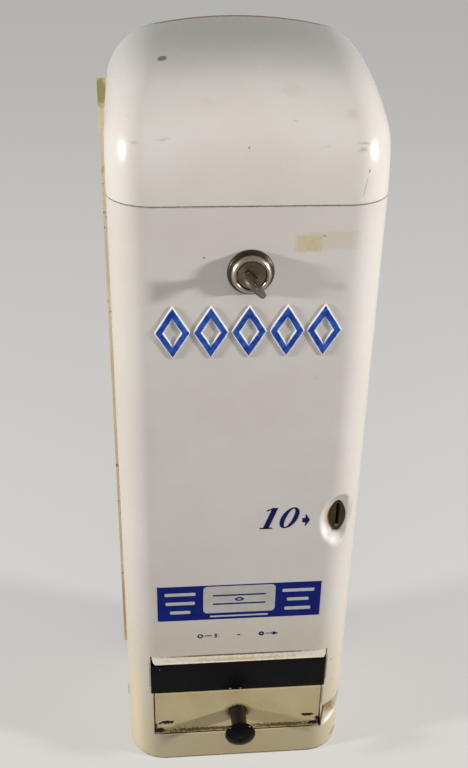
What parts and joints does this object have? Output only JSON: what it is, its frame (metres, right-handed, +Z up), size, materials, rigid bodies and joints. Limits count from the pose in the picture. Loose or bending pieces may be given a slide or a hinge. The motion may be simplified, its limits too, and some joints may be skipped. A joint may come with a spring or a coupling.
{
  "type": "sanitary napkin vending machine",
  "caption": "White enamelled wall cabinet with a rounded lift-off hood, key lock, coin entry on the right corner, black swing flap and a cream pull drawer with a black knob.",
  "frame": {"origin": "centre of the bounding box's footprint, on the surface that the foot stands on", "axes": "+X to the right seen from the front, +Y from the front towards the wall, +Z up"},
  "size_m": [0.172, 0.1402, 0.517],
  "materials": {
    "white_enamel": "glossy stove enamel on pressed steel",
    "cream_plate": "aged cream paint with rust specks",
    "cream_drawer": "yellowed cream paint on steel",
    "black_flap": "semi-gloss black paint on steel",
    "black_knob": "moulded phenolic, polished",
    "stem_brown": "dark oxidised steel",
    "lock_chrome": "chromium plated die casting",
    "lock_brass": "worn brass",
    "coin_bronze": "dark bronzed brass",
    "washer_dark": "dark oxidised steel",
    "inner_steel": "zinc plated sheet steel",
    "weight_iron": "cast iron with black paint"
  },
  "bodies": {
    "cabinet": {"back_plate": "cream_plate", "front_cover": "white_enamel", "base_pan": "inner_steel", "drawer_runner_left": "inner_steel", "drawer_runner_right": "inner_steel", "magazine_left": "inner_steel", "magazine_right": "inner_steel", "magazine_back": "inner_steel", "cover_brackets": "inner_steel", "cover_screws": "white_enamel", "plate_rivets": "inner_steel", "coin_plate": "coin_bronze", "coin_chute": "inner_steel", "pawl_pin": "inner_steel", "cash_tray": "inner_steel", "flap_brackets": "inner_steel", "flap_pin": "inner_steel", "lock_washer": "washer_dark", "lock_body": "lock_chrome", "lock_nut": "lock_brass"},
    "hood": {"hood": "white_enamel", "hood_band": "inner_steel", "hood_catch": "inner_steel"},
    "lock_plug": {"lock_plug": "lock_brass", "lock_cam": "inner_steel", "cam_screw": "inner_steel"},
    "key": {"key": "lock_brass"},
    "drawer": {"drawer_front": "cream_drawer", "drawer_tray": "inner_steel", "latch_lug": "inner_steel", "knob_stem": "stem_brown", "knob_cap": "black_knob", "knob_screw": "inner_steel"},
    "flap": {"delivery_flap": "black_flap"},
    "coin_pawl": {"coin_pawl": "lock_brass"},
    "stack_weight": {"stack_weight": "weight_iron"}
  },
  "joints": [
    {"name": "hood_lift", "type": "slide", "parent": "cabinet", "child": "hood", "axis": [0, 0, 1], "range_m": [0, 0.15]},
    {"name": "lock_turn", "type": "hinge", "parent": "cabinet", "child": "lock_plug", "pos_m": [0, -0.04155, 0.3975], "axis": [0, -1, 0], "range_deg": [-45, 45]},
    {"name": "key_slide", "type": "slide", "parent": "lock_plug", "child": "key", "axis": [0, -1, 0], "range_m": [0, 0.028]},
    {"name": "drawer_slide", "type": "slide", "parent": "cabinet", "child": "drawer", "axis": [0, -1, 0], "range_m": [0, 0.05]},
    {"name": "flap_swing", "type": "hinge", "parent": "cabinet", "child": "flap", "pos_m": [0, -0.03739, 0.0964], "axis": [-1, 0, 0], "range_deg": [0, 70]},
    {"name": "pawl_rock", "type": "hinge", "parent": "cabinet", "child": "coin_pawl", "pos_m": [0.0655, 0.01445, 0.082], "axis": [1, 0, 0], "range_deg": [-18, 0]},
    {"name": "weight_lift", "type": "slide", "parent": "cabinet", "child": "stack_weight", "axis": [0, 0, 1], "range_m": [0, 0.28]}
  ]
}
